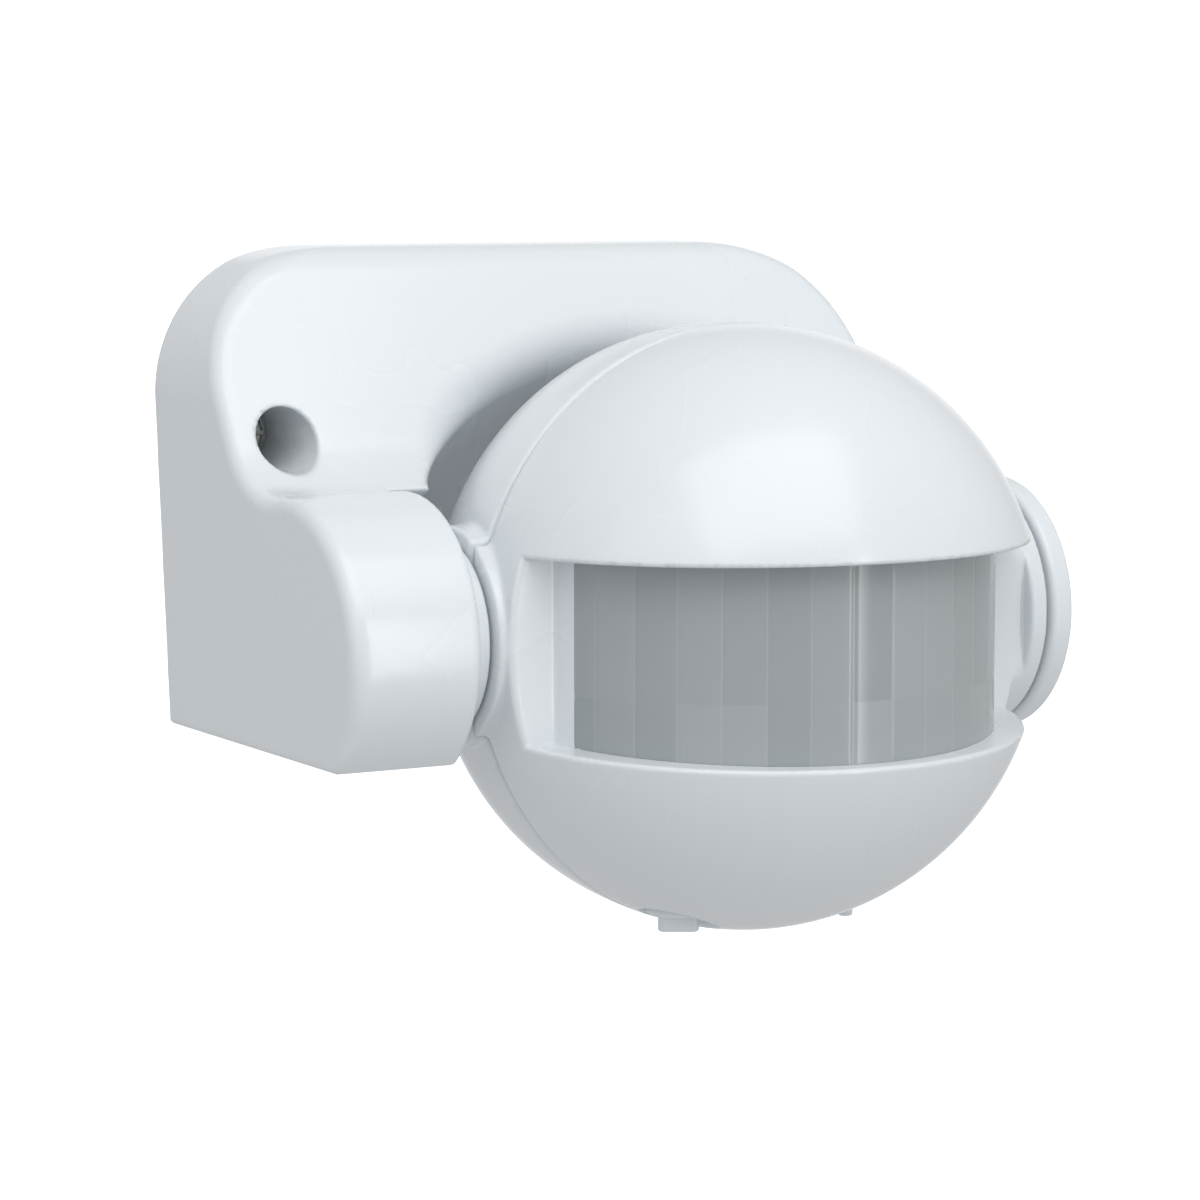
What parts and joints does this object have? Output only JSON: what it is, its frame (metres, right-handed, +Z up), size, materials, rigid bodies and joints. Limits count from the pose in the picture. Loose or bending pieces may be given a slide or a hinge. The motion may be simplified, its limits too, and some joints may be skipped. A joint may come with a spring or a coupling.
{
  "type": "motion sensor",
  "caption": "Wall-mounted passive infrared motion sensor: a rounded head with a curved lens window tilts on a barrel at one side of a sloped base, with two setting knobs.",
  "frame": {"origin": "middle of the base's wall face, on the plane of the wall", "axes": "+Y into the wall, so the sensor looks along -Y; +Z up; +X to the right of somebody who faces the sensor"},
  "size_m": [0.0941, 0.0722, 0.0768],
  "materials": {
    "white_housing": "satin moulded ABS",
    "milky_lens": "translucent polyethylene with moulded facets",
    "black_rubber": "matt",
    "zinc_steel": "zinc plated",
    "white_nylon": "moulded nylon",
    "black_plastic": "moulded",
    "green_board": "solder mask",
    "blue_plastic": "moulded",
    "yellow_film": "moulded case",
    "dark_sleeve": "shrink sleeve",
    "orange_ceramic": "coated ceramic",
    "red_lens": "clear tinted",
    "grey_sheath": "flexible PVC",
    "brown_core": "PVC insulation",
    "blue_core": "PVC insulation",
    "red_core": "PVC insulation"
  },
  "bodies": {
    "base": {"back_plate": "white_housing", "base_housing": "white_housing", "wall_seal": "black_rubber", "cover_screw": "zinc_steel", "cable_grommet": "black_rubber", "terminal_block": "black_plastic", "terminal_screw_1": "zinc_steel", "terminal_screw_2": "zinc_steel", "terminal_screw_3": "zinc_steel", "core_live": "brown_core", "core_neutral": "blue_core", "core_load": "red_core", "base_lead": "grey_sheath", "friction_washer": "white_nylon", "hub_seal": "black_rubber"},
    "head": {"pivot_hub": "white_housing", "spring_washer": "zinc_steel", "hub_nut": "white_nylon", "head_rear_shell": "white_housing", "head_front_shell": "white_housing", "seam_gasket": "black_rubber", "fresnel_lens": "milky_lens", "lens_frame": "white_nylon", "end_cap": "white_housing", "circuit_board": "green_board", "board_screw_left": "zinc_steel", "board_screw_right": "zinc_steel", "pir_element": "zinc_steel", "light_sensor": "orange_ceramic", "status_led": "red_lens", "relay": "blue_plastic", "mains_capacitor": "yellow_film", "reservoir_capacitor": "dark_sleeve", "time_pot": "blue_plastic", "lux_pot": "blue_plastic", "shell_screw_top": "zinc_steel", "shell_screw_left": "zinc_steel", "shell_screw_right": "zinc_steel", "head_lead": "grey_sheath"},
    "time_knob": {"time_knob": "white_housing"},
    "lux_knob": {"lux_knob": "white_housing"}
  },
  "joints": [
    {"name": "head_tilt", "type": "hinge", "parent": "base", "child": "head", "pos_m": [0.0114, -0.03415, -0.0148], "axis": [1, 0, 0], "range_deg": [-20, 30]},
    {"name": "time_setting", "type": "hinge", "parent": "head", "child": "time_knob", "pos_m": [0.0004, -0.0446, -0.0448], "axis": [0, 0, 1], "range_deg": [-196, 74]},
    {"name": "lux_setting", "type": "hinge", "parent": "head", "child": "lux_knob", "pos_m": [0.0224, -0.0446, -0.0448], "axis": [0, 0, 1], "range_deg": [-106, 164]}
  ]
}
